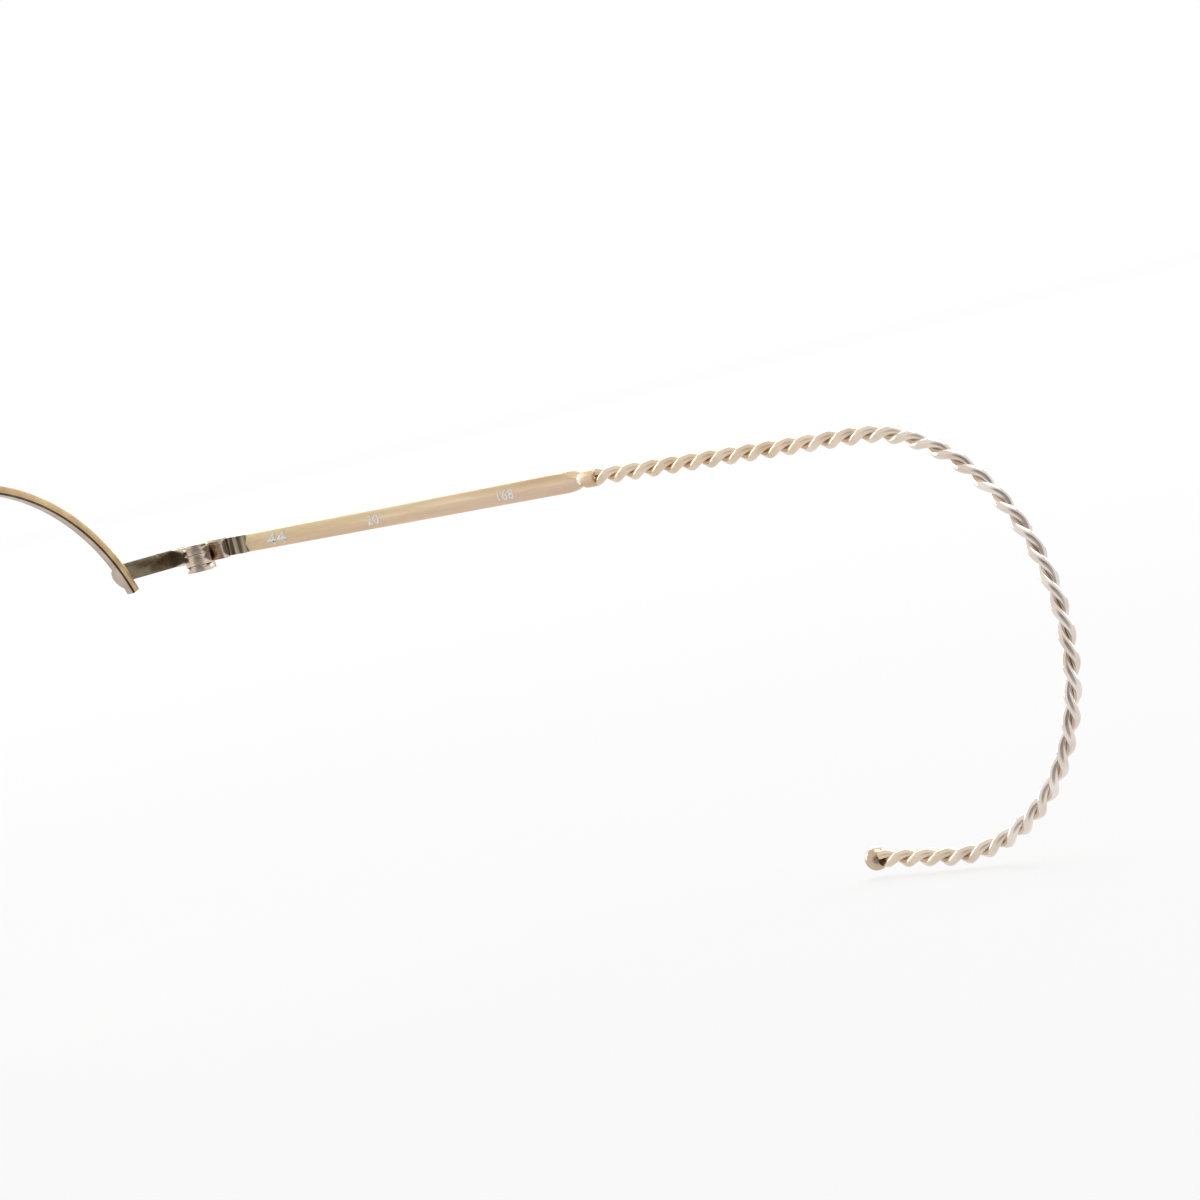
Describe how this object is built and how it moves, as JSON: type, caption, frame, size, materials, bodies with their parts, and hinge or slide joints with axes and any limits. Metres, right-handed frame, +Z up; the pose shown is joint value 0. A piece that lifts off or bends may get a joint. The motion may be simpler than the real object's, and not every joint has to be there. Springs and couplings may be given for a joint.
{
  "type": "flip-up eyeglasses",
  "caption": "Round wire eyeglasses with open half rims, a hinged lens front that flips up, rocking nose pads and folding temples ending in twisted ear cables.",
  "frame": {"origin": "middle of the bounding box at its lowest plane, where the ear curls stand, with the temples open and the front flipped up", "axes": "+X to the wearer's left, +Y back over the ears, +Z up"},
  "size_m": [0.125, 0.1688, 0.061],
  "materials": {
    "satin_gold": "satin antique gold",
    "temple_gold": "brushed satin light gold",
    "cable_gold": "worn bright antique gold",
    "tip_gold": "antique gold",
    "dark_gold": "dark polished",
    "screw_steel": "bright",
    "lens_glass": "clear",
    "pad_silicone": "clear soft silicone"
  },
  "bodies": {
    "frame": {"right_half_rim": "satin_gold", "left_half_rim": "satin_gold", "right_stop_lug": "satin_gold", "left_stop_lug": "satin_gold", "bridge": "satin_gold", "top_bar": "satin_gold", "flip_bracket": "dark_gold", "flip_pin": "screw_steel", "flip_spring": "screw_steel", "right_endpiece": "dark_gold", "left_endpiece": "dark_gold", "right_front_leaf": "dark_gold", "left_front_leaf": "dark_gold", "right_pad_arm": "satin_gold", "left_pad_arm": "satin_gold", "right_pad_screw": "screw_steel", "left_pad_screw": "screw_steel"},
    "flip_front": {"flip_knuckle": "dark_gold", "flip_bar": "satin_gold", "right_ring": "satin_gold", "left_ring": "satin_gold", "right_ring_block": "dark_gold", "left_ring_block": "dark_gold", "right_ring_screw": "screw_steel", "left_ring_screw": "screw_steel", "right_lens": "lens_glass", "left_lens": "lens_glass"},
    "right_temple": {"right_temple_leaf": "dark_gold", "right_hinge_screw": "screw_steel", "right_temple_bar": "temple_gold", "right_cable_ferrule": "cable_gold", "right_cable": "cable_gold", "right_ball_tip": "tip_gold"},
    "left_temple": {"left_temple_leaf": "dark_gold", "left_hinge_screw": "screw_steel", "left_temple_bar": "temple_gold", "left_cable_ferrule": "cable_gold", "left_cable": "cable_gold", "left_ball_tip": "tip_gold"},
    "right_pad": {"right_pad_core": "screw_steel", "right_nose_pad": "pad_silicone"},
    "left_pad": {"left_pad_core": "screw_steel", "left_nose_pad": "pad_silicone"}
  },
  "joints": [
    {"name": "flip_down", "type": "hinge", "parent": "frame", "child": "flip_front", "pos_m": [0, -0.03626, 0.05666], "axis": [1, 0, 0], "range_deg": [0, 90]},
    {"name": "right_fold", "type": "hinge", "parent": "frame", "child": "right_temple", "pos_m": [-0.0587, -0.03106, 0.04066], "axis": [0, 0, -1], "range_deg": [0, 90]},
    {"name": "left_fold", "type": "hinge", "parent": "frame", "child": "left_temple", "pos_m": [0.0587, -0.03106, 0.04066], "axis": [0, 0, 1], "range_deg": [0, 82]},
    {"name": "right_pad_rock", "type": "hinge", "parent": "frame", "child": "right_pad", "pos_m": [-0.0115, -0.03011, 0.03138], "axis": [-0.4226, 0.9063, 0], "range_deg": [-8, 8]},
    {"name": "left_pad_rock", "type": "hinge", "parent": "frame", "child": "left_pad", "pos_m": [0.0115, -0.03011, 0.03138], "axis": [0.4226, 0.9063, 0], "range_deg": [-8, 8]}
  ]
}
